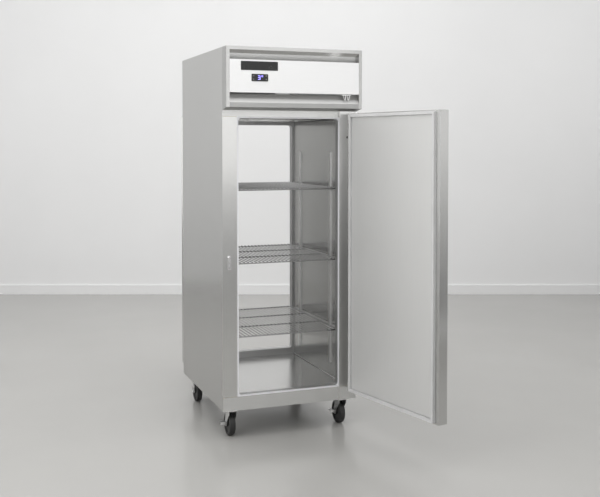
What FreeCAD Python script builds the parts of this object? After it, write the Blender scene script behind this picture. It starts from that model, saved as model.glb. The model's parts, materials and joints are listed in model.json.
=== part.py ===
"""Pass-through reach-in refrigerator with a top-mounted refrigeration unit, on four casters.

Millimetres. +Z is up, +Y runs from the front to the back, and the origin is on the floor
under the middle of the cabinet. Both doors stand open.
"""
import FreeCAD, Part
import math
import os

V = FreeCAD.Vector
ALONG_X, ALONG_Y, ALONG_Z = V(1, 0, 0), V(0, 1, 0), V(0, 0, 1)

# cabinet
WIDTH, DEPTH, HEIGHT = 770, 890, 2090
BODY_BOTTOM = 156
SHEET = 1.5
SIDE = WIDTH / 2
FRONT, BACK = -DEPTH / 2, DEPTH / 2
ROOF = 1790
LINER_SIDE, LINER_FLOOR, LINER_CEILING = 330, 230, 1730
LINER_FRONT, LINER_BACK = FRONT + 39.5, BACK - 45

# openings in the steel face frames, as (x0, x1, z0, z1); the front hinge stile is the wider one
FRONT_HOLE = (-305, 285, 231, 1726)
REAR_HOLE = (-326, 326, 262, 1706)
SEAM = 1
BREAKER = 8
BREAKER_FLANGE = 3.5
CORNER = 24

# shelves and pilasters
PILASTER_DEPTH, PILASTER_WIDTH = 9, 18
PILASTER_BOTTOM, PILASTER_TOP = 310, 1532
PILASTER_Y = (FRONT + 233, FRONT + 720)
SLOT_PITCH = 38
SHELF_Z = {"lower": 536, "middle": 934, "upper": 1331}
SHELF_SIDE = 310
SHELF_FRONT, SHELF_BACK = FRONT + 65, FRONT + 842
FRAME_ROD, WIRE = 3.4, 2.7
SHELF_CORNER = 12
WIRE_COUNT = 27
REST_GAP = 0.3

# hood
HOOD_FRONT = FRONT - 77
HOOD_LIP, HOOD_BACK_EDGE = 1773, 1760
HOOD_FLANGE = 18
HOOD_INNER = SIDE - HOOD_FLANGE
PANEL_BOTTOM, PANEL_TOP = 1850, 2022
RECESS_TOP = 2072
RECESS_BACK = HOOD_FRONT + 37
SCOOP_BACK = HOOD_FRONT + 42
SCOOP_TOP_Y = HOOD_FRONT + 30
KEY_PIN_Y, KEY_PIN_Z = HOOD_FRONT + 4, PANEL_BOTTOM - 5

# doors, as closed on the front
DOOR_FREE, DOOR_HINGED = -367, 385
DOOR_OUT = HOOD_FRONT + 8
DOOR_IN = DOOR_OUT + 54
DOOR_BOTTOM, DOOR_TOP = 214, 1747
HINGE_X, HINGE_Y = 362, DOOR_OUT + 12
FRONT_OPEN, REAR_OPEN = 102.4, 62
GASKET = 16
GASKET_BASE, GASKET_HEAD = 4, 6
RIM_FREE, RIM_HINGED, RIM_ENDS = 30, 25, 5
HANDLE_X, HANDLE_Z = -310, 925
HANDLE_STANDOFF = 44
LOCK_Z, LOCK_RADIUS = 1040, 8
PIN = 5
RUN = 0.05

# casters
CASTER_X, CASTER_Y, TRAIL = 321, 381, 30
WHEEL, TREAD = 63.5, 32
LEG_INSIDE, LEG = 20, 3
AXLE = 5


def box(x0, x1, y0, y1, z0, z1):
    return Part.makeBox(x1 - x0, y1 - y0, z1 - z0, V(x0, y0, z0))


def rod(x, y, z, radius, length, axis):
    return Part.makeCylinder(radius, length, V(x, y, z), axis)


def fuse(shapes):
    return shapes[0].multiFuse(shapes[1:]).removeSplitter()


def moved(shape, x=0, y=0, z=0):
    copy = shape.copy()
    copy.translate(V(x, y, z))
    return copy


def turned(shape, degrees, x=0, y=0):
    copy = shape.copy()
    copy.rotate(V(x, y, 0), ALONG_Z, degrees)
    return copy


def opposite(shape):
    """The same piece on the other end of the cabinet."""
    return turned(shape, 180)


def edges_along(shape, axis):
    return [e for e in shape.Edges if abs(abs(e.tangentAt(e.FirstParameter).dot(axis)) - 1) < 1e-6]


def rounded_plate(rect, y0, y1, radius):
    """A plate between two depths over (x0, x1, z0, z1), with rounded corners."""
    x0, x1, z0, z1 = rect
    plate = box(x0, x1, y0, y1, z0, z1)
    return plate.makeFillet(radius, edges_along(plate, ALONG_Y))


def inset(rect, by):
    x0, x1, z0, z1 = rect
    return (x0 + by, x1 - by, z0 + by, z1 - by)


def ring(rect, wall, y0, y1, radius):
    inner = rounded_plate(inset(rect, wall), y0, y1, max(radius - wall, 2))
    return rounded_plate(rect, y0, y1, radius).cut(inner)


def strips_round(outer, inner, y0, y1):
    """Four straight slabs that fill the space between two rectangles."""
    ox0, ox1, oz0, oz1 = outer
    ix0, ix1, iz0, iz1 = inner
    return [
        box(ox0, ix0, y0, y1, oz0, oz1),
        box(ix1, ox1, y0, y1, oz0, oz1),
        box(ix0, ix1, y0, y1, oz0, iz0),
        box(ix0, ix1, y0, y1, iz1, oz1),
    ]


def profile_x(points, x0, x1):
    """A closed outline of (y, z) points, carried from x0 to x1."""
    wire = Part.makePolygon([V(x0, y, z) for y, z in points + points[:1]])
    return Part.Face(wire).extrude(V(x1 - x0, 0, 0))


def pipe(points, radius, bend):
    """A round tube along straight runs joined by arcs of one radius."""
    corners = [V(*p) for p in points]
    edges = []
    start = corners[0]
    for before, corner, after in zip(corners, corners[1:], corners[2:]):
        back = (before - corner).normalize()
        ahead = (after - corner).normalize()
        half = back.getAngle(ahead) / 2
        cut = bend / math.tan(half)
        middle = (back + ahead).normalize() * (bend / math.sin(half) - bend)
        into, out = corner + back * cut, corner + ahead * cut
        edges.append(Part.LineSegment(start, into).toShape())
        edges.append(Part.Arc(into, corner + middle, out).toShape())
        start = out
    edges.append(Part.LineSegment(start, corners[-1]).toShape())
    circle = Part.Circle(corners[0], corners[1] - corners[0], radius)
    return Part.Wire(edges).makePipeShell([Part.Wire(circle.toShape())], True, False)


def duct_holes(z0, z1):
    """The two air ways between the cavity and the evaporator housing."""
    return [box(60, 260, y, y + 90, z0, z1) for y in (90, 280)]


def side_panel(side):
    """Outer skin with a folded top edge; side is -1 for the left, +1 for the right."""
    skin = box(SIDE - SHEET, SIDE, FRONT + SHEET, BACK - SHEET, BODY_BOTTOM, HEIGHT)
    front_edge = box(SIDE - SHEET, SIDE, FRONT, 0, ROOF, HEIGHT)
    fold = box(SIDE - 21, SIDE - SHEET, FRONT, BACK - SHEET, HEIGHT - SHEET, HEIGHT)
    panel = fuse([skin, front_edge, fold])
    return panel if side > 0 else panel.mirror(V(0, 0, 0), ALONG_X)


def deck(z0, z1, half, y0, y1):
    return box(-half, half, y0, y1, z0, z1)


def foam():
    """Foam slabs in the walls, and short ones behind the face frames."""
    inner = LINER_SIDE + SHEET
    y0, y1 = FRONT + SHEET, BACK - SHEET
    z0, z1 = BODY_BOTTOM + SHEET, ROOF - SHEET
    left = box(-SIDE + SHEET, -inner, y0, y1, z0, z1)
    floor = box(-inner, inner, y0, y1, z0, LINER_FLOOR - SHEET)
    ceiling = box(-inner, inner, y0, y1, LINER_CEILING + SHEET, z1).cut(duct_holes(0, HEIGHT))
    around = (-inner, inner, LINER_FLOOR - SHEET, LINER_CEILING + SHEET)
    front = strips_round(around, FRONT_HOLE, y0, LINER_FRONT - BREAKER_FLANGE)
    rear = strips_round(around, REAR_HOLE, LINER_BACK + BREAKER_FLANGE, y1)
    return [left, left.mirror(V(0, 0, 0), ALONG_X), floor, ceiling] + front + rear


def face_frame(hole, y0, ends):
    """Two stiles, a header and a bottom rail, with the right stile running up past the header."""
    x0, x1, bottom, top = hole
    y1 = y0 + SHEET
    left = box(-SIDE, x0, y0, y1, bottom + SEAM, top - SEAM)
    right = box(x1, SIDE, y0, y1, bottom + SEAM, ends)
    header = box(-SIDE, x1 - SEAM, y0, y1, top, ends)
    rail = box(-SIDE, SIDE, y0, y1, BODY_BOTTOM, bottom)
    return [left, right, header, rail]


def breaker_strip(hole, face, inner, step):
    """Moulded plastic trim round an opening; step points from the face into the cabinet."""
    y0, y1 = sorted((face, inner))
    band = ring(hole, BREAKER, y0, y1, CORNER)
    band = band.fuse(rounded_plate(hole, y0, y1, 1).cut(rounded_plate(inset(hole, 2), y0, y1, CORNER)))
    cavity = (-LINER_SIDE - SHEET, LINER_SIDE + SHEET, LINER_FLOOR - SHEET, LINER_CEILING + SHEET)
    f0, f1 = sorted((inner, inner - step * BREAKER_FLANGE))
    window = rounded_plate(inset(hole, BREAKER), f0, f1, CORNER - BREAKER)
    return fuse([band, rounded_plate(cavity, f0, f1, 1).cut(window)])


def pilaster():
    """A slotted hat strip on the right wall, centred on y = 0."""
    x0, x1 = LINER_SIDE - PILASTER_DEPTH, LINER_SIDE
    half = PILASTER_WIDTH / 2
    strip = box(x0, x1, -half, half, PILASTER_BOTTOM, PILASTER_TOP)
    hollow = box(x0 + 2, x1, 2 - half, half - 2, PILASTER_BOTTOM, PILASTER_TOP)
    slots = []
    z = PILASTER_BOTTOM + SLOT_PITCH / 2
    while z < PILASTER_TOP - 12:
        slots.append(box(x0 - 1, x0 + 3, -4, 4, z - 3, z + 3))
        z += SLOT_PITCH
    return strip.cut([hollow] + slots)


def shelf_clip(z):
    """A clip on the right wall, centred on y = 0, that cradles a shelf's side rod."""
    face = LINER_SIDE - PILASTER_DEPTH
    top = z - FRAME_ROD - REST_GAP
    plate = box(face - 2.5, face, -9, 9, top - 22, top + 2)
    ledge = box(SHELF_SIDE - 10, face, -9, 9, top - 3, top)
    lip = box(SHELF_SIDE - 10, SHELF_SIDE - 8, -9, 9, top, top + 3)
    web = box(SHELF_SIDE - 6, face - 2.5, -1, 1, top - 14, top - 3)
    return fuse([plate, ledge, lip, web])


def four_ways(shape):
    """Copies of a right-wall piece at both pilaster depths on both walls."""
    pieces = []
    for y in PILASTER_Y:
        there = moved(shape, y=y)
        pieces += [there, there.mirror(V(0, 0, 0), ALONG_X)]
    return pieces


def bent_frame(half, y0, y1, z, radius, corner):
    """A closed rod frame with bent corners."""
    blank = box(-half, half, y0, y1, z, z + 1)
    blank = blank.makeFillet(corner, edges_along(blank, ALONG_Z))
    loop = [face for face in blank.Faces if face.BoundBox.ZMax < z + 0.5][0].OuterWire
    circle = Part.Circle(V(0, y0, z), ALONG_X, radius)
    return loop.makePipeShell([Part.Wire(circle.toShape())], True, False)


def shelf(z):
    """Welded wire grid: a bent frame and cross rods with thin wires on top."""
    length = SHELF_BACK - SHELF_FRONT
    parts = [bent_frame(SHELF_SIDE, SHELF_FRONT, SHELF_BACK, z, FRAME_ROD, SHELF_CORNER)]
    for y in (SHELF_FRONT + length / 3, SHELF_FRONT + 2 * length / 3):
        parts.append(rod(-SHELF_SIDE, y, z, FRAME_ROD, 2 * SHELF_SIDE, ALONG_X))
    step = 2 * SHELF_SIDE / (WIRE_COUNT + 1)
    height = z + FRAME_ROD + WIRE - 0.6
    for i in range(1, WIRE_COUNT + 1):
        parts.append(rod(i * step - SHELF_SIDE, SHELF_FRONT - 2, height, WIRE, length + 4, ALONG_Y))
    return fuse(parts)


def duct_cover():
    """A shallow tray under the ceiling, with air slots and two spring clips."""
    low, high = LINER_CEILING - 12, LINER_CEILING
    x0, x1, y0, y1 = -285, 285, -170, 390
    tray = box(x0, x1, y0, y1, low, high).cut(box(x0 + 2, x1 - 2, y0 + 2, y1 - 2, low + 2, high))
    slots = []
    for column in (-240, 40):
        for row in range(8):
            y = -40 + 50 * row
            slots.append(box(column, column + 200, y, y + 10, low, low + 2))
    clips = [rounded_plate((x, x + 26, low - 9, low + 6), y0 - 1.5, y0, 3) for x in (-180, 120)]
    return [tray.cut(slots)] + clips


def hood_frame():
    """Side cheeks with folded front flanges, the top with its flange, and the sloping recess."""
    top = HEIGHT - SHEET
    face = HOOD_FRONT + SHEET
    outline = [(HOOD_FRONT, HOOD_LIP), (FRONT, HOOD_BACK_EDGE), (FRONT, HEIGHT), (HOOD_FRONT, HEIGHT)]
    parts = []
    for side in (-1, 1):
        cheek = profile_x(outline, SIDE - SHEET, SIDE)
        flange = box(HOOD_INNER, SIDE - SHEET, HOOD_FRONT, face, HOOD_LIP, HEIGHT)
        inner = box(HOOD_INNER, HOOD_INNER + SHEET, face, SCOOP_BACK, PANEL_BOTTOM - 55, top)
        corner = fuse([cheek, flange, inner])
        parts.append(corner if side > 0 else corner.mirror(V(0, 0, 0), ALONG_X))
    parts.append(box(-SIDE + SHEET, SIDE - SHEET, face, FRONT, top, HEIGHT))
    parts.append(box(-HOOD_INNER, HOOD_INNER, HOOD_FRONT, face, RECESS_TOP, HEIGHT))
    recess = [(HOOD_FRONT, RECESS_TOP), (RECESS_BACK, PANEL_TOP), (RECESS_BACK + SHEET, PANEL_TOP),
              (HOOD_FRONT + SHEET, RECESS_TOP)]
    parts.append(profile_x(recess, -HOOD_INNER, HOOD_INNER))
    return fuse(parts)


def display_rect(grow):
    return (-248 + grow, -157 - grow, 1909 + grow, 1947 - grow)


def hood_panel():
    """Flat panel with folded edges, a cut-out for the display, and a pin for the key hangers."""
    half = HOOD_INNER - 0.5
    face = HOOD_FRONT + SHEET
    parts = [
        box(-half, half, HOOD_FRONT, face, PANEL_BOTTOM, PANEL_TOP),
        box(-half, half, face, RECESS_BACK - 1, PANEL_TOP - SHEET, PANEL_TOP),
        box(-half, half, face, SCOOP_BACK - 2, PANEL_BOTTOM, PANEL_BOTTOM + SHEET),
        rod(270, KEY_PIN_Y, KEY_PIN_Z, 1.5, 46, ALONG_X),
    ]
    for x in (268, 316):
        parts.append(box(x, x + 2, KEY_PIN_Y - 3, KEY_PIN_Y + 3, KEY_PIN_Z - 3, PANEL_BOTTOM))
    x0, x1, z0, z1 = display_rect(6)
    return fuse(parts).cut(box(x0, x1, HOOD_FRONT, face, z0, z1))


def key_hangers():
    """Two V-shaped wire hangers on the pin under the hood panel."""
    y, z = KEY_PIN_Y, KEY_PIN_Z
    hangers = []
    for x, tip in ((273, 286), (296, 306)):
        sleeve = rod(x, y, z, 3, 19, ALONG_X)
        loop = pipe([(x + 1.5, y, z), (tip, y, z - 36), (x + 17.5, y, z)], 1.5, 2.5)
        hangers.append(fuse([sleeve, loop]).cut(rod(x - 1, y, z, 1.5 + RUN, 21, ALONG_X)))
    return hangers


def hood_scoop():
    """Slightly hollow air scoop, front lip and sloping underside."""
    low = HOOD_LIP + 23
    rear, tip = (SCOOP_TOP_Y, PANEL_BOTTOM - 5), (HOOD_FRONT, low + SHEET)
    middle = ((rear[0] + tip[0]) / 2 + 1, (rear[1] + tip[1]) / 2 - 0.6)
    above = Part.Arc(*[V(-HOOD_INNER, y, z) for y, z in (rear, middle, tip)]).toShape()
    under = [(y + drop_y, z - drop_z) for (y, z), drop_y, drop_z in
             ((tip, 0, SHEET), (middle, 1.1, 1.1), (rear, SHEET, 0))]
    below = Part.Arc(*[V(-HOOD_INNER, y, z) for y, z in under]).toShape()
    closers = [
        Part.LineSegment(V(-HOOD_INNER, *a), V(-HOOD_INNER, *b)).toShape()
        for a, b in ((tip, under[0]), (under[2], rear))
    ]
    face = Part.Face(Part.Wire(Part.sortEdges([above, closers[0], below, closers[1]])[0]))
    curve = face.extrude(V(2 * HOOD_INNER, 0, 0))
    lip = box(-HOOD_INNER, HOOD_INNER, HOOD_FRONT, HOOD_FRONT + SHEET, HOOD_LIP, low + SHEET)
    slope = [(HOOD_FRONT + SHEET, HOOD_LIP), (FRONT, HOOD_BACK_EDGE), (FRONT, HOOD_BACK_EDGE + SHEET),
             (HOOD_FRONT + SHEET, HOOD_LIP + SHEET)]
    underside = profile_x(slope, -SIDE + SHEET, SIDE - SHEET)
    return fuse([curve, lip, underside])


def display_module():
    bezel = rounded_plate(display_rect(0), HOOD_FRONT - 3, HOOD_FRONT, 4)
    x0, x1, z0, z1 = display_rect(6)
    return fuse([bezel, box(x0, x1, HOOD_FRONT, HOOD_FRONT + 40, z0, z1)])


def badge():
    return rounded_plate((-306, -102, 1966, 2013), HOOD_FRONT - 1.5, HOOD_FRONT, 3)


def fan(radius, hub, blades, chord):
    """A fan about the Y axis at the origin, with its hub from y = 0 to y = 20."""
    parts = [rod(0, 0, 0, hub, 20, ALONG_Y)]
    for i in range(blades):
        blade = box(hub - 4, radius, -1, 1, -chord / 2, chord / 2)
        blade.rotate(V(0, 0, 0), ALONG_X, 65)
        blade.translate(V(0, 10, 0))
        blade.rotate(V(0, 0, 0), ALONG_Y, i * 360 / blades)
        parts.append(blade)
    return fuse(parts)


def finned_coil(x0, x1, y0, y1, z0, z1, pitch, rows):
    """Plates across X with tubes through them and end plates."""
    parts = []
    x = x0
    while x <= x1 - 1:
        parts.append(box(x, x + 1, y0, y1, z0, z1))
        x += pitch
    for i in range(rows):
        z = z0 + (i + 0.5) * (z1 - z0) / rows
        for y in (y0 + (y1 - y0) * 0.3, y0 + (y1 - y0) * 0.7):
            parts.append(rod(x0 - 12, y, z, 5, x1 - x0 + 24, ALONG_X))
    return fuse(parts)


def rotor_seat(x, y, z, radius, reach, length):
    """A motor with its shaft pointing to -Y: the shaft's tip is at reach."""
    motor = rod(x, y, z, radius, length, ALONG_Y)
    return fuse([motor, rod(x, reach, z, 4, y - reach, ALONG_Y)])


EVAP_FAN = (170, 250, 1905)
COND_FAN = (-210, -330, 1920)


def evaporator_housing():
    """Insulated box over the ceiling's air ways, with the fan motor on its rear wall."""
    shell = box(-20, 360, 30, 430, ROOF, 2040).cut(box(0, 340, 50, 410, ROOF, 2020))
    x, y, z = EVAP_FAN
    motor = rotor_seat(x, y + 60, z, 32, y - 4, 100)
    return [shell, motor]


def fan_at(place, radius, hub, blades, chord):
    x, y, z = place
    bore = rod(0, -1, 0, 4 + RUN, 22, ALONG_Y)
    return moved(fan(radius, hub, blades, chord).cut(bore), x, y, z)


def unit_base():
    x0, x1, y0, y1 = -370, -40, -430, 210
    tray = box(x0, x1, y0, y1, ROOF, ROOF + 14)
    return tray.cut(box(x0 + 2, x1 - 2, y0 + 2, y1 - 2, ROOF + 2, ROOF + 14))


def compressor():
    """Hermetic shell on rubber feet, with its terminal box."""
    x, y = -205, -10
    shell = rod(x, y, ROOF + 14, 85, 180, ALONG_Z)
    top = [e for e in shell.Edges if e.BoundBox.ZMin > ROOF + 190]
    bottom = [e for e in shell.Edges if e.BoundBox.ZMax < ROOF + 16]
    shell = shell.makeFillet(55, top).makeFillet(25, bottom)
    band = rod(x, y, ROOF + 95, 88, 12, ALONG_Z)
    plate = box(x - 95, x + 95, y - 60, y + 60, ROOF + 10, ROOF + 16)
    terminals = box(x + 70, x + 115, y - 30, y + 30, ROOF + 50, ROOF + 120)
    feet = [rod(x + i * 84, y + j * 48, ROOF + 2, 10, 8, ALONG_Z) for i in (-1, 1) for j in (-1, 1)]
    return [fuse([shell, band, plate, terminals])] + feet


def fan_shroud():
    """Sheet shroud behind the condenser, with struts that carry the motor."""
    x, y, z = COND_FAN
    x0, x1, z0, z1 = -360, -60, ROOF + 14, ROOF + 254
    plate = box(x0, x1, y - 22, y - 20, z0, z1)
    mouth = rod(x, y - 23, z, 104, 22, ALONG_Y).cut(rod(x, y - 23, z, 102, 22, ALONG_Y))
    plate = plate.cut(rod(x, y - 23, z, 102, 4, ALONG_Y))
    walls = [box(a, a + 2, y - 34, y - 20, z0, z1) for a in (x0, x1 - 2)]
    struts = []
    for a in (-70, 70):
        struts.append(box(x + a - 4, x + a + 4, y - 22, y + 62, z0, z0 + 3))
        struts.append(box(x + a - 4, x + a + 4, y + 59, y + 62, z0, z))
    struts.append(box(x - 74, x + 74, y + 59, y + 62, z - 8, z + 8))
    return [fuse([plate, mouth] + walls + struts + [rotor_seat(x, y + 45, z, 40, y - 4, 70)])]


def refrigerant_lines():
    """Discharge, liquid and suction lines in copper, with the filter drier on the liquid line."""
    shell = compressor()[0]
    deck_z = ROOF + 40
    discharge = pipe([(-160, 60, 1930), (-160, 110, 1930), (-160, 110, 2050), (-382 + 34, 110, 2050),
                      (-348, -330, 2050)], 4, 14)
    liquid = pipe([(-340, -330, deck_z), (-340, 180, deck_z), (-60, 180, deck_z), (-60, 240, deck_z),
                   (-21, 240, deck_z)], 3.5, 12)
    suction = pipe([(-250, 62, 1900), (-250, 150, 1900), (-250, 150, 1960), (-80, 150, 1960),
                    (-80, 300, 1960), (-21, 300, 1960)], 6, 16)
    drier = rod(-240, 180, deck_z, 17, 100, ALONG_X)
    drier = drier.makeFillet(8, [e for e in drier.Edges if e.Length < 120 and e.Length > 100])
    return [discharge.cut(shell), fuse([liquid, drier]), suction.cut(shell)]


def control_box():
    case = box(60, 300, -400, -260, ROOF, 1930)
    case = case.makeFillet(4, edges_along(case, ALONG_Z))
    lid = box(56, 304, -404, -256, 1930, 1936)
    conduit = pipe([(180, -260, 1840), (180, -200, 1840), (180, -200, 1900), (180, 30, 1900)], 9, 20)
    return [fuse([case, lid]), conduit]


def rear_grille():
    """Louvred panel behind the refrigeration unit, with the cord gland."""
    y0, y1 = BACK - SHEET, BACK
    panel = box(-SIDE, SIDE, y0, y1, ROOF, HEIGHT)
    fold = box(-SIDE + 21, SIDE - 21, BACK - 20, y0, HEIGHT - SHEET, HEIGHT)
    slots = []
    for x in (-330, -100, 130):
        for row in range(9):
            z = 1850 + 24 * row
            slots.append(box(x, x + 200, y0, y1, z, z + 10))
    gland = fuse([rod(330, y0, 1815, 9, 22, ALONG_Y), rod(330, y1, 1815, 14, 8, ALONG_Y)])
    bore = rod(330, y0 - 1, 1815, 5, 26, ALONG_Y)
    return [fuse([panel, fold]).cut(slots + [rod(330, y0, 1815, 9, SHEET, ALONG_Y)]), gland.cut(bore)]


def strike_plate():
    """Strike on the front left stile with its bright keeper knob."""
    x = -350
    plate = rounded_plate((x - 10, x + 10, 912, 990), FRONT - 3, FRONT, 3)
    grooves = [box(x - 3, x + 11, FRONT - 3, FRONT - 1.5, z, z + 10) for z in (918, 937, 956)]
    knob = rod(x, FRONT - 11, 978, 9, 8, ALONG_Y)
    front_edge = [e for e in knob.Edges if e.BoundBox.YMax < FRONT - 10]
    return fuse([plate.cut(grooves), knob.makeFillet(3, front_edge)])


def hinge_bracket(z, pin_to, flange_to):
    """A shelf bracket in front of the face frame, with a pin up or down into the door."""
    x0, x1, thick = HINGE_X - 12, HINGE_X + 12, 3
    shelf_plate = box(x0, x1, HINGE_Y - 12, FRONT, z, z + thick)
    nose = [e for e in edges_along(shelf_plate, ALONG_Z) if e.BoundBox.YMax < HINGE_Y]
    shelf_plate = shelf_plate.makeFillet(10, nose)
    z0, z1 = sorted((z if flange_to > z else z + thick, flange_to))
    flange = box(x0, x1, FRONT - thick, FRONT, z0, z1)
    p0, p1 = sorted((z + thick / 2, pin_to))
    return fuse([shelf_plate, flange, rod(HINGE_X, HINGE_Y, p0, PIN, p1 - p0, ALONG_Z)])


def door_inner_rect():
    return (DOOR_FREE + RIM_FREE + GASKET + 2, DOOR_HINGED - RIM_HINGED - GASKET - 2,
            DOOR_BOTTOM + RIM_ENDS + GASKET + 2, DOOR_TOP - RIM_ENDS - GASKET - 2)


def pin_block(z0, z1):
    return box(HINGE_X - 16, HINGE_X + 14, DOOR_OUT + SHEET, HINGE_Y + 16, z0, z1)


def door_pan():
    """Folded steel outer door with hinge blocks, its inner face open for the liner panel."""
    pan = box(DOOR_FREE, DOOR_HINGED, DOOR_OUT, DOOR_IN, DOOR_BOTTOM, DOOR_TOP)
    outer_edges = [e for e in pan.Edges if e.BoundBox.YMax < DOOR_OUT + 1]
    pan = pan.makeFillet(3, outer_edges)
    x0, x1, z0, z1 = door_inner_rect()
    pan = pan.cut([door_cavity(), box(x0, x1, DOOR_IN - SHEET, DOOR_IN, z0, z1)])
    blocks = [pin_block(DOOR_BOTTOM + SHEET, DOOR_BOTTOM + 24), pin_block(DOOR_TOP - 24, DOOR_TOP - SHEET)]
    bores = [rod(HINGE_X, HINGE_Y, z, PIN + RUN, 26, ALONG_Z) for z in (DOOR_BOTTOM - 1, DOOR_TOP - 25)]
    return fuse([pan] + blocks).cut(bores + [lock_hole(DOOR_OUT, 4)])


def door_cavity():
    return box(DOOR_FREE + SHEET, DOOR_HINGED - SHEET, DOOR_OUT + SHEET, DOOR_IN - SHEET,
               DOOR_BOTTOM + SHEET, DOOR_TOP - SHEET)


def lock_hole(y, depth):
    return rod(HANDLE_X, y, LOCK_Z, LOCK_RADIUS + 4, depth, ALONG_Y)


def door_foam():
    blocks = [pin_block(DOOR_BOTTOM + SHEET, DOOR_BOTTOM + 24), pin_block(DOOR_TOP - 24, DOOR_TOP - SHEET)]
    return door_cavity().cut(blocks + [lock_hole(DOOR_OUT, 32)])


def door_liner():
    """Flat inner panel that stands a little proud, with softened edges."""
    panel = rounded_plate(door_inner_rect(), DOOR_IN - SHEET, DOOR_IN + 4, 4)
    face = [e for e in panel.Edges if e.BoundBox.YMin > DOOR_IN + 3]
    return panel.makeFillet(2, face)


def door_gasket():
    """Magnetic gasket: base, narrow bellows and sealing head."""
    rect = (DOOR_FREE + RIM_FREE, DOOR_HINGED - RIM_HINGED, DOOR_BOTTOM + RIM_ENDS, DOOR_TOP - RIM_ENDS)
    head_back = FRONT - REST_GAP
    return fuse([
        ring(rect, GASKET, DOOR_IN, DOOR_IN + GASKET_BASE, 6),
        ring(inset(rect, 4), GASKET - 8, DOOR_IN + GASKET_BASE, head_back - GASKET_HEAD, 6),
        ring(inset(rect, 1), GASKET - 2, head_back - GASKET_HEAD, head_back, 6),
    ])


def door_handle():
    """Base plate with a D-shaped pull, and the lock's fixed bezel."""
    x0, x1 = HANDLE_X - 10, HANDLE_X + 10
    z0, z1 = HANDLE_Z - 75, HANDLE_Z + 75
    plate = rounded_plate((HANDLE_X - 25, HANDLE_X + 25, z0 - 10, z1 + 10), DOOR_OUT - 4, DOOR_OUT, 10)
    grip = box(x0, x1, DOOR_OUT - HANDLE_STANDOFF, DOOR_OUT - 4, z0, z1)
    grip = grip.cut(box(x0, x1, DOOR_OUT - HANDLE_STANDOFF + 12, DOOR_OUT - 4, z0 + 16, z1 - 16))
    outer = [e for e in grip.Edges if e.BoundBox.YMax < DOOR_OUT - HANDLE_STANDOFF + 1]
    grip = grip.makeFillet(5, outer)
    bezel = lock_hole(DOOR_OUT, 32).fuse(rod(HANDLE_X, DOOR_OUT - 3, LOCK_Z, LOCK_RADIUS + 7, 3, ALONG_Y))
    bezel = bezel.cut(rod(HANDLE_X, DOOR_OUT - 4, LOCK_Z, LOCK_RADIUS + RUN, 34, ALONG_Y))
    return [fuse([plate, grip]), bezel]


def door_lock():
    """Key plug that turns in the bezel."""
    plug = rod(HANDLE_X, DOOR_OUT - 4, LOCK_Z, LOCK_RADIUS, 34, ALONG_Y)
    return plug.cut(box(HANDLE_X - 1, HANDLE_X + 1, DOOR_OUT - 4, DOOR_OUT + 2, LOCK_Z - 5, LOCK_Z + 5))


def door_pieces():
    return {
        "door_pan": [door_pan()],
        "door_foam": [door_foam()],
        "door_liner": [door_liner()],
        "door_gasket": [door_gasket()],
        "door_handle": door_handle(),
        "door_lock": [door_lock()],
    }


def wheel(x, y):
    """Tyre on a core, on the axle's line at (x, y)."""
    half = TREAD / 2
    tyre = rod(x - half, y, WHEEL, WHEEL, TREAD, ALONG_X).cut(rod(x - half, y, WHEEL, 46, TREAD, ALONG_X))
    tyre = tyre.makeFillet(5, [e for e in tyre.Edges if e.Length > 350])
    core = rod(x - half + 4, y, WHEEL, 46, TREAD - 8, ALONG_X)
    hub = rod(x - LEG_INSIDE + 1, y, WHEEL, 16, 2 * LEG_INSIDE - 2, ALONG_X)
    bore = rod(x - half - 5, y, WHEEL, AXLE + RUN, TREAD + 10, ALONG_X)
    return [tyre, fuse([core, hub]).cut(bore)]


def caster_plate(x, y):
    """Mounting plate with its kingpin, and four bolts."""
    top = BODY_BOTTOM
    plate = box(x - 48, x + 48, y - 42, y + 42, top - 3.5, top)
    plate = plate.makeFillet(6, edges_along(plate, ALONG_Z))
    pin = rod(x, y, top - 18, 6, 15, ALONG_Z)
    head = rod(x, y, top - 20, 10, 4, ALONG_Z)
    bolts = [rod(x + i * 38, y + j * 32, top - 8, 6, 4.5, ALONG_Z) for i in (-1, 1) for j in (-1, 1)]
    return [fuse([plate, pin, head])] + bolts


def caster_fork(x, y, way, braked):
    """Swivel crown and two legs; way is +1 when the wheel trails to the back."""
    crown_top = BODY_BOTTOM - 4.5
    half = LEG_INSIDE + LEG
    outline = [(-30, 147), (28, 147), (44, 70), (44, WHEEL), (16, WHEEL), (16, 74), (-30, 124)]
    outline = [(y + way * a, b) for a, b in outline]
    parts = [rod(x, y, crown_top - 5, 32, 5, ALONG_Z), box(x - half, x + half, y - 30, y + 30, 141, 147)]
    for leg_x in (x - half, x + LEG_INSIDE):
        parts.append(profile_x(outline, leg_x, leg_x + LEG))
        parts.append(rod(leg_x, y + way * TRAIL, WHEEL, 14, LEG, ALONG_X))
    axle_y = y + way * TRAIL
    fork = fuse(parts).cut([
        rod(x, y, 130, 6 + RUN, 30, ALONG_Z),
        rod(x - half, axle_y, WHEEL, AXLE, 2 * half, ALONG_X),
    ])
    left = 12 if braked else 6
    axle = fuse([
        rod(x - half - left, axle_y, WHEEL, AXLE, 2 * half + left + 6, ALONG_X),
        rod(x + half, axle_y, WHEEL, 9, 6, ALONG_X),
        rod(x - half - left, axle_y, WHEEL, 8, 6, ALONG_X),
    ])
    return [fork, axle]


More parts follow.
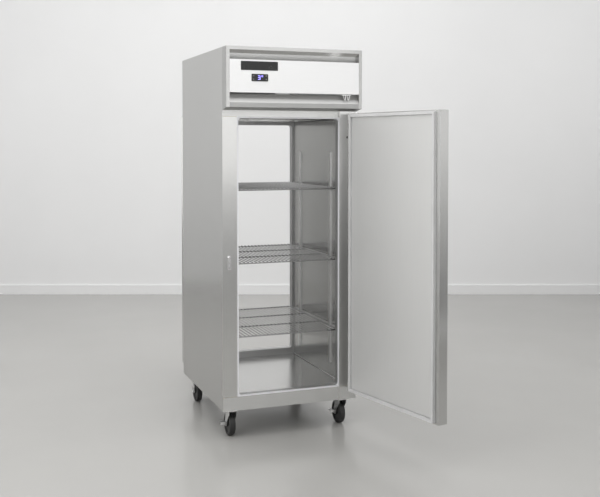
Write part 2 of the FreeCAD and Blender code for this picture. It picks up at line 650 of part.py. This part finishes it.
def brake_lever(x, y):
    """Side brake lever on the axle, outside the left leg, at axle point (x, y)."""
    inner = x - LEG_INSIDE - LEG - 0.5
    hub = rod(inner - 4, y, WHEEL, 11, 4, ALONG_X)
    web = box(inner - 4, inner, y - 11, y + 11, WHEEL, WHEEL + 14)
    tread_plate = box(inner - 32, inner, y - 12, y + 12, WHEEL + 10.5, WHEEL + 14)
    lip = box(inner - 32, inner - 4, y - 15, y - 12, WHEEL - 1, WHEEL + 14)
    lever = fuse([hub, web, tread_plate, lip])
    return lever.cut(rod(inner - 5, y, WHEEL, AXLE + RUN, 6, ALONG_X))


def cabinet_nodes():
    inner = LINER_SIDE + SHEET
    holes = duct_holes(0, HEIGHT)
    roof = deck(ROOF - SHEET, ROOF, SIDE - SHEET, FRONT + SHEET, BACK - SHEET)
    liner_ceiling = deck(LINER_CEILING, LINER_CEILING + SHEET, inner, LINER_FRONT, LINER_BACK)
    wall = box(LINER_SIDE, inner, LINER_FRONT, LINER_BACK, LINER_FLOOR, LINER_CEILING)
    top_bracket = hinge_bracket(DOOR_TOP + 2, DOOR_TOP - 22, DOOR_TOP + 9)
    low_bracket = hinge_bracket(DOOR_BOTTOM - 5, DOOR_BOTTOM + 20, DOOR_BOTTOM - 22)
    rear_top = hinge_bracket(DOOR_TOP + 2, DOOR_TOP - 22, DOOR_TOP + 34)
    return {
        "side_panel_left": [side_panel(-1)],
        "side_panel_right": [side_panel(1)],
        "base_pan": [deck(BODY_BOTTOM, BODY_BOTTOM + SHEET, SIDE - SHEET, FRONT + SHEET, BACK - SHEET)],
        "roof_pan": [roof.cut(holes)],
        "foam_insulation": foam(),
        "liner_side_walls": [wall, wall.mirror(V(0, 0, 0), ALONG_X)],
        "liner_floor": [deck(LINER_FLOOR - SHEET, LINER_FLOOR, inner, LINER_FRONT, LINER_BACK)],
        "liner_ceiling": [liner_ceiling.cut(holes)],
        "front_face_frame": face_frame(FRONT_HOLE, FRONT, ROOF),
        "rear_face_frame": face_frame(REAR_HOLE, BACK - SHEET, ROOF),
        "breaker_strips": [
            breaker_strip(FRONT_HOLE, FRONT, LINER_FRONT, 1),
            breaker_strip(REAR_HOLE, BACK, LINER_BACK, -1),
        ],
        "shelf_pilasters": four_ways(pilaster()),
        "shelf_clips": [clip for z in SHELF_Z.values() for clip in four_ways(shelf_clip(z))],
        "ceiling_duct_cover": duct_cover(),
        "strike_plates": [strike_plate(), opposite(strike_plate())],
        "hinge_brackets": [top_bracket, low_bracket, opposite(rear_top), opposite(low_bracket)],
        "door_switch": [rod(332, FRONT - 3, 1617, 6, 3, ALONG_Y)],
    }


def top_nodes():
    x, y, z = COND_FAN
    return {
        "hood_frame": [hood_frame()],
        "hood_panel": [hood_panel()],
        "hood_air_scoop": [hood_scoop()],
        "display_module": [display_module()],
        "badge_plate": [badge()],
        "key_hangers": key_hangers(),
        "evaporator_housing": evaporator_housing(),
        "evaporator_coil": [finned_coil(30, 310, 70, 200, ROOF + 20, 1990, 12, 4)],
        "evaporator_fan": [fan_at(EVAP_FAN, 90, 16, 4, 60)],
        "unit_base_plate": [unit_base()],
        "compressor": compressor(),
        "condenser_coil": [finned_coil(-345, -75, -425, -366, ROOF + 16, ROOF + 252, 9, 5)],
        "condenser_fan_shroud": fan_shroud(),
        "condenser_fan": [fan_at(COND_FAN, 98, 18, 5, 46)],
        "refrigerant_lines": refrigerant_lines(),
        "control_box": control_box(),
        "rear_grille": rear_grille(),
    }


def door_nodes():
    """Both doors from one design, each turned to where it stands open."""
    nodes = {}
    for name, pieces in door_pieces().items():
        nodes["front_" + name] = [turned(p, FRONT_OPEN, HINGE_X, HINGE_Y) for p in pieces]
        nodes["rear_" + name] = [turned(opposite(p), REAR_OPEN, -HINGE_X, -HINGE_Y) for p in pieces]
    return nodes


def caster_nodes():
    nodes = {"caster_plates": []}
    for end, y, way in (("front", -CASTER_Y, 1), ("rear", CASTER_Y, -1)):
        for side, x in (("left", -CASTER_X), ("right", CASTER_X)):
            where = end + "_" + side
            axle_y = y + way * TRAIL
            braked = end == "front"
            nodes["caster_plates"] += caster_plate(x, y)
            nodes["caster_fork_" + where] = caster_fork(x, y, way, braked)
            nodes["caster_wheel_" + where] = wheel(x, axle_y)
            if braked:
                nodes["brake_lever_" + where] = [brake_lever(x, axle_y)]
    return nodes


def main():
    nodes = cabinet_nodes()
    nodes.update({"shelf_" + name: [shelf(z)] for name, z in SHELF_Z.items()})
    nodes.update(top_nodes())
    nodes.update(door_nodes())
    nodes.update(caster_nodes())
    os.makedirs("parts", exist_ok=True)
    for name, solids in nodes.items():
        shape = solids[0] if len(solids) == 1 else Part.makeCompound(solids)
        shape.exportStep("parts/" + name + ".step")
        bad = [s for s in shape.Solids if not s.isValid()]
        if bad or len(shape.Solids) != len(solids):
            print("check", name, len(shape.Solids), "solids,", len(bad), "invalid")
    print(len(nodes), "nodes")


main()
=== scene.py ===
"""Pass-through reach-in refrigerator: its materials and small trim, in a plain pale studio.

Metres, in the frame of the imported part: the floor is z = 0 and +Y runs from front to back.
"""
import json
import math

import bmesh
import bpy
from mathutils import Matrix, Vector


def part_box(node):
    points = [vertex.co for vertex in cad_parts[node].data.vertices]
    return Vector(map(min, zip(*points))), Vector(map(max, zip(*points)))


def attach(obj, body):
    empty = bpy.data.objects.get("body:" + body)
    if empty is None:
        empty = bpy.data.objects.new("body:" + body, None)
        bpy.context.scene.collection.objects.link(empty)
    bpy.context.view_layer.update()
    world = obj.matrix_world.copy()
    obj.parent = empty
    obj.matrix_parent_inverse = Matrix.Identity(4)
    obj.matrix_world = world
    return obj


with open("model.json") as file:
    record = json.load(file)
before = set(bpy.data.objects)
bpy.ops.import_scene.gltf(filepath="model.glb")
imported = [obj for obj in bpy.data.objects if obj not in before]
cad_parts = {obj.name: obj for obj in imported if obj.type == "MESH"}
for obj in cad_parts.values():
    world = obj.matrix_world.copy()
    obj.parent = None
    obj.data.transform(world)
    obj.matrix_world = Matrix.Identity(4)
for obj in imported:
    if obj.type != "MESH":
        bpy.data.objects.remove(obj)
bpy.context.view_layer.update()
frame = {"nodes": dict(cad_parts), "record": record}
nodes = frame["nodes"]

# camera and room
CAMERA_PLACE = (-1.7113, -5.0967, 1.5873)
CAMERA_TILT, CAMERA_TURN = math.radians(88), math.radians(-20.76)
CAMERA_LENS, CAMERA_SENSOR, CAMERA_SHIFT = 54.94, 36, -0.123
ROOM_HALF, ROOM_HEIGHT = 4.2, 5.0
FLOOR_HALF = 7.56
SKIRTING, SKIRTING_DEPTH = 0.096, 0.02
SKY_STRENGTH = 0.9
# name, place, aim, size, power
LIGHTS = (
    ("overhead", (-0.3, 0, 4.8), (-0.3, 0, 0), (5.0, 5.0), 142),
    ("front_left", (-3.2, -3.2, 3.4), (0, 0, 1.0), (2.5, 2.5), 28),
    ("left", (-3.9, -1.4, 2.1), (0, -1.4, 1.4), (3.2, 2.6), 32),
)
FRONT_LIGHT_SIDE, FRONT_LIGHT_AHEAD, FRONT_LIGHT_HEIGHT = 0.4, -4.0, 2.7
FRONT_LIGHT_SIZE, FRONT_LIGHT_POWER = (7.0, 3.0), 36

# places on the part that the record doesn't hold
BEAD_BACK = 0.440
REAR_FACE = 0.445
HOUSING_LOW, HOUSING_HIGH, HOUSING_TOP = (-0.020, 0.030), (0.360, 0.430), 2.040
CONTROL_BOX_X, CONTROL_BOX_Y, CONTROL_BOX_TOP = (0.072, 0.288), (-0.388, -0.272), 1.936


# ---- materials -------------------------------------------------------------------------------

class Surface:
    """A Principled material whose colour, roughness and relief vary over the part."""

    def __init__(self, name, roughness, metallic=0.0, **sockets):
        self.material = bpy.data.materials.new(name)
        self.material.use_nodes = True
        self.tree = self.material.node_tree
        self.shader = self.tree.nodes["Principled BSDF"]
        self.shader.inputs["Roughness"].default_value = roughness
        self.shader.inputs["Metallic"].default_value = metallic
        for socket, value in sockets.items():
            self.shader.inputs[socket.replace("_", " ")].default_value = value
        self.place = self.node("ShaderNodeTexCoord").outputs["Object"]

    def node(self, kind, **settings):
        made = self.tree.nodes.new(kind)
        for key, value in settings.items():
            setattr(made, key, value)
        return made

    def link(self, output, node, socket):
        self.tree.links.new(output, node.inputs[socket])

    def stretched(self, stretch):
        mapping = self.node("ShaderNodeMapping")
        mapping.inputs["Scale"].default_value = stretch
        self.link(self.place, mapping, "Vector")
        return mapping.outputs["Vector"]

    def noise(self, scale, detail=3.0, stretch=(1, 1, 1)):
        texture = self.node("ShaderNodeTexNoise")
        texture.inputs["Scale"].default_value = scale
        texture.inputs["Detail"].default_value = detail
        self.link(self.stretched(stretch), texture, "Vector")
        return texture.outputs["Fac"]

    def cells(self, scale):
        texture = self.node("ShaderNodeTexVoronoi")
        texture.inputs["Scale"].default_value = scale
        self.link(self.place, texture, "Vector")
        return texture

    def ranged(self, value, low, high, start=0.3, end=0.7):
        ramp = self.node("ShaderNodeMapRange")
        self.link(value, ramp, "Value")
        limits = {"From Min": start, "From Max": end, "To Min": low, "To Max": high}
        for socket, number in limits.items():
            ramp.inputs[socket].default_value = number
        return ramp.outputs["Result"]

    def across(self, axis):
        """The direction across a grain that runs along an axis."""
        return self.node("ShaderNodeTangent", direction_type="RADIAL", axis=axis).outputs["Tangent"]

    def compared(self, value, operation, limit):
        step = self.node("ShaderNodeMath", operation=operation)
        self.link(value, step, 0)
        step.inputs[1].default_value = limit
        return step.outputs["Value"]

    def combined(self, first, operation, second):
        step = self.node("ShaderNodeMath", operation=operation)
        self.link(first, step, 0)
        self.link(second, step, 1)
        return step.outputs["Value"]

    def colour(self, value, low, high, start=0.3, end=0.7):
        ramp = self.node("ShaderNodeValToRGB")
        self.link(value, ramp, "Fac")
        ends = ramp.color_ramp.elements
        ends[0].position, ends[0].color = start, (*low, 1)
        ends[1].position, ends[1].color = end, (*high, 1)
        self.link(ramp.outputs["Color"], self.shader, "Base Color")

    def gloss(self, value, low, high, start=0.3, end=0.7):
        self.link(self.ranged(value, low, high, start, end), self.shader, "Roughness")

    def relief(self, value, distance):
        bump = self.node("ShaderNodeBump")
        bump.inputs["Strength"].default_value = 1.0
        bump.inputs["Distance"].default_value = distance
        self.link(value, bump, "Height")
        before = self.shader.inputs["Normal"].links
        if before:
            self.link(before[0].from_socket, bump, "Normal")
        self.link(bump.outputs["Normal"], self.shader, "Normal")


def tone(value, red=1.0, green=1.0, blue=1.0):
    return (value * red, value * green, value * blue)


def brushed(name, value, roughness, grain, metallic=1.0, spread=0.7, tint=(1.0, 1.0, 0.985)):
    """Sheet metal with a fine grain along one axis, which spreads its reflections across the grain."""
    surface = Surface(name, roughness, metallic)
    along = {"x": (6, 500, 500), "z": (500, 500, 6)}[grain]
    streaks = surface.noise(1.0, 3.0, along)
    waves = surface.noise(2.2, 2.0)
    surface.colour(streaks, tone(value * 0.985, *tint), tone(value * 1.015, *tint))
    mixed = surface.node("ShaderNodeMath", operation="ADD")
    surface.link(surface.ranged(streaks, -0.012, 0.012), mixed, 0)
    surface.link(surface.ranged(waves, roughness - 0.015, roughness + 0.015), mixed, 1)
    surface.link(mixed.outputs["Value"], surface.shader, "Roughness")
    surface.relief(streaks, 0.000004)
    surface.relief(waves, 0.0005)
    if spread:
        surface.shader.inputs["Anisotropic"].default_value = spread
        surface.link(surface.across(grain.upper()), surface.shader, "Tangent")
    return surface.material


def framed(name, value, roughness, spread, rails):
    """The face frames: stiles with upright grain between a header and a rail with level grain.

    rails holds the heights of the two joints and the x at which the right stile begins.
    """
    surface = Surface(name, roughness, 1.0, Anisotropic=spread)
    bottom, right, top = rails
    place = surface.node("ShaderNodeSeparateXYZ")
    surface.link(surface.place, place, "Vector")
    above = surface.compared(place.outputs["Z"], "GREATER_THAN", top)
    below = surface.compared(place.outputs["Z"], "LESS_THAN", bottom)
    beside = surface.compared(place.outputs["X"], "LESS_THAN", right)
    level = surface.combined(surface.combined(above, "MAXIMUM", below), "MULTIPLY", beside)
    turned = surface.node("ShaderNodeMix", data_type="VECTOR")
    surface.link(level, turned, 0)
    surface.link(surface.across("Z"), turned, 4)
    surface.link(surface.across("X"), turned, 5)
    surface.link(turned.outputs[1], surface.shader, "Tangent")
    streaks = surface.noise(1.0, 3.0, (60, 500, 60))
    surface.colour(streaks, tone(value * 0.99, 1, 1, 0.985), tone(value * 1.01, 1, 1, 0.985))
    surface.gloss(level, roughness, roughness - 0.06, 0.0, 1.0)
    return surface.material


def plated(name, value, roughness):
    """Zinc or chrome plate: small bright cells over a smooth base."""
    surface = Surface(name, roughness, 1.0)
    grain = surface.cells(320.0).outputs["Color"]
    surface.colour(grain, tone(value * 0.9), tone(value), 0.0, 1.0)
    surface.gloss(surface.noise(60.0), roughness - 0.06, roughness + 0.08)
    surface.relief(surface.noise(500.0), 0.00004)
    return surface.material


def galvanised(name):
    """Hot-dip zinc sheet with its crystal spangle."""
    surface = Surface(name, 0.42, 0.9)
    spangle = surface.cells(90.0).outputs["Color"]
    surface.colour(spangle, tone(0.42, 0.98, 1.0, 1.02), tone(0.6, 0.98, 1.0, 1.02), 0.0, 1.0)
    surface.gloss(spangle, 0.32, 0.5, 0.0, 1.0)
    surface.relief(surface.noise(25.0), 0.0003)
    return surface.material


def moulded(name, value, roughness, spread=0.06):
    """Moulded plastic or rubber: a fine grain and a slow change of shade."""
    surface = Surface(name, roughness)
    surface.colour(surface.noise(9.0), tone(value * (1 - spread)), tone(value * (1 + spread)))
    surface.gloss(surface.noise(30.0), roughness - 0.05, roughness + 0.05)
    surface.relief(surface.noise(700.0), 0.00005)
    return surface.material


def trimmed(name, plastic, metal):
    """Opening trim: a moulded bead on the face of the cabinet and a satin metal reveal behind it."""
    surface = Surface(name, 0.3)
    place = surface.node("ShaderNodeSeparateXYZ")
    surface.link(surface.place, place, "Vector")
    depth = surface.node("ShaderNodeMath", operation="ABSOLUTE")
    surface.link(place.outputs["Y"], depth, 0)
    reveal = surface.compared(depth.outputs["Value"], "LESS_THAN", BEAD_BACK)
    surface.colour(reveal, tone(plastic, 0.99, 0.99, 1.02), tone(metal), 0.0, 1.0)
    surface.link(reveal, surface.shader, "Metallic")
    surface.gloss(surface.noise(4.0), 0.36, 0.44)
    return surface.material


def foamed(name):
    """Poured insulating foam, pale brown and open-celled where it is cut."""
    surface = Surface(name, 0.85)
    surface.colour(surface.noise(40.0), (0.62, 0.5, 0.24), (0.74, 0.62, 0.34))
    surface.relief(surface.cells(350.0).outputs["Distance"], 0.0008)
    return surface.material


def coppered(name):
    """Copper tube, dulled in patches."""
    surface = Surface(name, 0.3, 1.0)
    surface.colour(surface.noise(35.0), (0.5, 0.22, 0.13), (0.72, 0.4, 0.27))
    surface.gloss(surface.noise(80.0), 0.22, 0.42)
    return surface.material


def glowing(name, colour, strength):
    """A lit display segment, a little uneven along its bar."""
    surface = Surface(name, 0.4)
    surface.colour(surface.noise(300.0), tone(0.02), tone(0.04))
    surface.shader.inputs["Emission Color"].default_value = (*colour, 1)
    surface.shader.inputs["Emission Strength"].default_value = strength
    return surface.material


MATERIALS = {
    "stainless": brushed("steel_upright", 0.61, 0.24, "z", spread=0.95),
    "front_frame": framed("steel_front_frame", 0.66, 0.3, 0.95, (0.2315, 0.2845, 1.7255)),
    "rear_frame": framed("steel_rear_frame", 0.66, 0.3, 0.95, (0.2625, 0.3255, 1.7055)),
    "stainless_across": brushed("steel_across", 0.5, 0.15, "x", spread=0.2),
    # painted shade: the scoop's steel is made darker than the other steel, standing in for the shadow
    # in the recess under the hood panel
    "stainless_scoop": brushed("steel_scoop_painted_shade", 0.42, 0.42, "x", spread=0.4),
    "hood_panel": brushed("panel_light", 0.83, 0.42, "x", 0.35, 0.0, (1.0, 1.0, 1.0)),
    "galvanised": galvanised("zinc_sheet"),
    "foam": foamed("foam"),
    "liner_aluminium": brushed("liner_wall", 0.62, 0.24, "z", spread=0.95),
    "liner_across": brushed("liner_level", 0.62, 0.22, "x", spread=0.0),
    "door_liner": brushed("door_liner", 0.68, 0.4, "z", metallic=0.4, spread=0.3),
    "breaker_plastic": trimmed("breaker_plastic", 0.74, 0.46),
    # painted shade: the shelf wire's plate is made dark, standing in for the shade on the wires'
    # undersides
    "shelf_wire": plated("shelf_wire", 0.3, 0.16),
    "shelf_hardware": plated("shelf_hardware", 0.82, 0.4),
    "coil_aluminium": plated("coil_aluminium", 0.7, 0.4),
    "fan_plastic": moulded("fan_plastic", 0.04, 0.5),
    "housing_plastic": moulded("housing_plastic", 0.6, 0.45),
    "display_black": moulded("display_black", 0.008, 0.2),
    "badge_black": moulded("badge_black", 0.006, 0.3),
    "bright_wire": plated("bright_wire", 0.9, 0.15),
    "compressor_black": moulded("compressor_black", 0.02, 0.35),
    "copper": coppered("copper"),
    "bright_hardware": plated("bright_hardware", 0.82, 0.16),
    "gasket_grey": moulded("gasket_grey", 0.6, 0.5),
    "lit_digit": glowing("lit_digit", (0.28, 0.24, 1.0), 3.5),
    "legend_grey": moulded("legend_grey", 0.16, 0.4),
    "switch_black": moulded("switch_black", 0.02, 0.4),
    "zinc": plated("zinc", 0.72, 0.3),
    "caster_rubber": moulded("caster_rubber", 0.018, 0.5, spread=0.3),
}
# nodes whose grain or finish differs from that of their slot; the air scoop's steel also carries
# painted shade
SPECIAL = {
    "front_face_frame": "front_frame",
    "rear_face_frame": "rear_frame",
    "hood_frame": "stainless_across",
    "hood_air_scoop": "stainless_scoop",
    "liner_floor": "liner_across",
    "liner_ceiling": "liner_across",
}


def dress_nodes():
    """Gives every node of the frame the material of its slot."""
    slots = {entry["node"]: entry["material_slot"] for entry in frame["record"]["subparts"]}
    for name, piece in nodes.items():
        material = MATERIALS[SPECIAL.get(name, slots[name])]
        for index in range(len(piece.data.materials)):
            piece.data.materials[index] = material


# ---- small trim ------------------------------------------------------------------------------

SCREW_RADIUS, SCREW_CROWN, SCREW_LAYER = 0.0046, 0.0032, 0.0010
SCREW_INSET = 0.015
LID = 0.003
SEALANT, SEALANT_BEVEL = 0.004, 0.0015
SEALANT_INSET, SEALANT_END = 0.003, 0.002


class Trim:
    """A piece gathered from small closed solids, each placed in the part's frame."""

    def __init__(self):
        self.form = bmesh.new()

    def block(self, low, high, bevel=0.0):
        centre = [(a + b) / 2 for a, b in zip(low, high)]
        size = [b - a for a, b in zip(low, high)]
        place = Matrix.Translation(centre) @ Matrix.Diagonal((*size, 1))
        made = bmesh.ops.create_cube(self.form, size=1, matrix=place)
        if bevel:
            edges = dict.fromkeys(edge for vertex in made["verts"] for edge in vertex.link_edges)
            bmesh.ops.bevel(self.form, geom=list(edges), offset=bevel, segments=2,
                            affect="EDGES", profile=0.5)
        return self

    def screw(self, seat, axis):
        """A pan head that stands on its seat along the axis: a straight foot and a sloping crown."""
        turn = Vector((0, 0, 1)).rotation_difference(Vector(axis)).to_matrix().to_4x4()
        for layer, top in enumerate((SCREW_RADIUS, SCREW_CROWN)):
            middle = Vector(seat) + Vector(axis) * SCREW_LAYER * (layer + 0.5)
            place = Matrix.Translation(middle) @ turn
            bmesh.ops.create_cone(self.form, cap_ends=True, segments=24, radius1=SCREW_RADIUS,
                                  radius2=top, depth=SCREW_LAYER, matrix=place)

    def done(self, name, body, slot, material=None):
        """Makes the piece, which rides its body and takes its slot's material or a given one."""
        mesh = bpy.data.meshes.new(name)
        self.form.to_mesh(mesh)
        self.form.free()
        mesh.materials.append(MATERIALS[material or slot])
        piece = bpy.data.objects.new(name, mesh)
        bpy.context.scene.collection.objects.link(piece)
        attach(piece, body)


def liner_sealant():
    """Beads of sealant where the liner floor meets its walls."""
    low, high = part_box("liner_floor")
    for side, x in (("left", low.x + SEALANT_INSET), ("right", high.x - SEALANT_INSET)):
        bead = Trim().block((x - SEALANT / 2, low.y + SEALANT_END, high.z),
                            (x + SEALANT / 2, high.y - SEALANT_END, high.z + SEALANT), SEALANT_BEVEL)
        bead.done("liner_sealant_" + side, "cabinet", "housing_plastic")


def roof_trim():
    """Screws in the rear grille and the control box, and the screwed lid of the evaporator housing."""
    low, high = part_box("rear_grille")
    grille = Trim()
    for x in (low.x + 0.013, -0.115, 0.115, high.x - 0.013):
        for z in (low.z + 0.025, high.z - 0.016):
            grille.screw((x, REAR_FACE, z), (0, 1, 0))
    grille.done("grille_screws", "cabinet", "bright_hardware")
    x0, y0 = HOUSING_LOW
    x1, y1 = HOUSING_HIGH
    lid_top = HOUSING_TOP + LID
    lid = Trim().block((x0, y0, HOUSING_TOP), (x1, y1, lid_top), 0.001)
    lid.done("housing_lid", "cabinet", "housing_plastic")
    lid_screws = Trim()
    for x in (x0 + SCREW_INSET, (x0 + x1) / 2, x1 - SCREW_INSET):
        for y in (y0 + SCREW_INSET, y1 - SCREW_INSET):
            lid_screws.screw((x, y, lid_top), (0, 0, 1))
    for x in CONTROL_BOX_X:
        for y in CONTROL_BOX_Y:
            lid_screws.screw((x, y, CONTROL_BOX_TOP), (0, 0, 1))
    lid_screws.done("lid_screws", "cabinet", "bright_hardware")


def display_trim():
    """The lit digit with its degree mark, and the dim touch keys either side."""
    low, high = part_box("display_module")
    x, z = low.x + 0.041, (low.z + high.z) / 2
    wide, tall, bar = 0.0065, 0.0095, 0.0026
    ring_x, ring_z, ring, line = x + wide + 0.0105, z + tall - 0.002, 0.0033, 0.0008
    reach = 0.004
    key_reach, key_half, key_rows = 0.004, 0.003, 0.009

    def plate(trim, x0, z0, x1, z1, proud):
        """A thin plate that stands proud of the display's face and is sunk a little into it."""
        trim.block((x0, low.y - proud, z0), (x1, low.y + 0.0002, z1))

    digit = Trim()
    for level in (-1, 0, 1):
        middle = z + level * tall
        plate(digit, x - wide, middle - bar / 2, x + wide, middle + bar / 2, 0.0003)
    plate(digit, x + wide - bar, z - tall, x + wide, z + tall, 0.0003)
    for side in (-1, 1):
        ring_side, ring_level = ring_x + side * ring, ring_z + side * ring
        plate(digit, ring_x - reach, ring_level - line, ring_x + reach, ring_level + line, 0.0003)
        plate(digit, ring_side - line, ring_z - reach, ring_side + line, ring_z + reach, 0.0003)
    digit.done("display_digit", "cabinet", "display_black", "lit_digit")
    keys = Trim()
    for key_x in (low.x + 0.010, high.x - 0.010):
        for key_z in (z - key_rows, z + key_rows):
            plate(keys, key_x - key_reach, key_z - key_half,
                  key_x + key_reach, key_z + key_half, 0.0002)
    keys.done("display_keys", "cabinet", "display_black", "legend_grey")


# ---- room, light and camera -----------------------------------------------------------------

def room_surface(name, low, high, roughness, heights=None):
    """Paint that lets light and sight through from behind, so the room never hides the object.

    With heights it paints shade in, shading from colour low at the first height to colour high at the
    second.
    """
    surface = Surface(name, roughness)
    if heights:
        height = surface.node("ShaderNodeSeparateXYZ")
        surface.link(surface.place, height, "Vector")
        surface.colour(surface.ranged(height.outputs["Z"], 0, 1, *heights), low, high, 0.0, 1.0)
    else:
        surface.colour(surface.noise(1.2), low, high)
    surface.relief(surface.noise(180.0), 0.0002)
    clear = surface.node("ShaderNodeBsdfTransparent")
    behind = surface.node("ShaderNodeNewGeometry").outputs["Backfacing"]
    mix = surface.node("ShaderNodeMixShader")
    surface.link(behind, mix, "Fac")
    surface.link(surface.shader.outputs["BSDF"], mix, 1)
    surface.link(clear.outputs["BSDF"], mix, 2)
    surface.link(mix.outputs["Shader"], surface.tree.nodes["Material Output"], "Surface")
    return surface.material


def staged(name, corners, faces, material):
    """A surface of the room, square to the camera's heading."""
    mesh = bpy.data.meshes.new(name)
    mesh.from_pydata(corners, [], faces)
    mesh.materials.append(material)
    piece = bpy.data.objects.new(name, mesh)
    bpy.context.scene.collection.objects.link(piece)
    piece.rotation_euler = (0, 0, CAMERA_TURN)


def build_room():
    half, reach = ROOM_HALF, FLOOR_HALF
    warm = (1, 0.985, 0.945)
    floor_paint = room_surface("floor_paint", tone(0.375, *warm), tone(0.395, *warm), 0.2)
    wall_paint = room_surface("wall_paint", tone(0.8), tone(0.82), 0.6)
    # painted shade: the near and right walls darken towards the floor, standing in for shadow low in
    # the studio
    near_shaded_paint = room_surface("near_shaded_paint", tone(0.42), tone(0.9), 0.6, (0, 0.9))
    right_shaded_paint = room_surface("right_shaded_paint", tone(0.3), tone(0.9), 0.6, (0.0, 1.6))
    square = [(-1, -1), (1, -1), (1, 1), (-1, 1)]
    staged("floor", [(x * reach, y * reach, 0) for x, y in square], [(0, 1, 2, 3)], floor_paint)
    walls = [(x * half, y * half, z) for z in (0, ROOM_HEIGHT) for x, y in square]
    sides = [(i, i + 4, (i + 1) % 4 + 4, (i + 1) % 4) for i in range(4)]
    staged("walls", walls, sides[2:], wall_paint)
    staged("near_wall", walls, sides[:1], near_shaded_paint)
    staged("right_wall", walls, sides[1:2], right_shaded_paint)
    near = half - SKIRTING_DEPTH
    board = [(x * near, y * near, z) for z in (0, SKIRTING) for x, y in square]
    edge = [(x * half, y * half, SKIRTING) for x, y in square]
    caps = [(i + 8, (i + 1) % 4 + 8, (i + 1) % 4 + 4, i + 4) for i in range(4)]
    staged("skirting", board + edge, sides + caps, wall_paint)


def area_light(name, place, aim, size, power):
    data = bpy.data.lights.new(name, "AREA")
    data.shape, data.size, data.size_y = "RECTANGLE", *size
    data.energy = power
    lamp = bpy.data.objects.new(name, data)
    bpy.context.scene.collection.objects.link(lamp)
    lamp.location = place
    lamp.rotation_euler = (Vector(aim) - Vector(place)).to_track_quat("-Z", "Y").to_euler()
    lamp.visible_camera = False


def light_room():
    world = bpy.data.worlds.new("sky")
    world.use_nodes = True
    backdrop = world.node_tree.nodes["Background"]
    backdrop.inputs["Color"].default_value = (1, 1, 1, 1)
    backdrop.inputs["Strength"].default_value = SKY_STRENGTH
    bpy.context.scene.world = world
    for light in LIGHTS:
        area_light(*light)
    offset = Vector((FRONT_LIGHT_SIDE, FRONT_LIGHT_AHEAD, FRONT_LIGHT_HEIGHT))
    place = Matrix.Rotation(CAMERA_TURN, 3, "Z") @ offset
    area_light("front", place, (0, 0, FRONT_LIGHT_HEIGHT), FRONT_LIGHT_SIZE, FRONT_LIGHT_POWER)
    bpy.context.scene.view_settings.view_transform = "Standard"


def place_camera():
    data = bpy.data.cameras.new("camera")
    data.lens, data.sensor_width, data.shift_y = CAMERA_LENS, CAMERA_SENSOR, CAMERA_SHIFT
    camera = bpy.data.objects.new("camera", data)
    bpy.context.scene.collection.objects.link(camera)
    camera.location = CAMERA_PLACE
    camera.rotation_euler = (CAMERA_TILT, 0, CAMERA_TURN)
    bpy.context.scene.camera = camera


place_camera()
build_room()
light_room()
dress_nodes()
display_trim()
liner_sealant()
roof_trim()
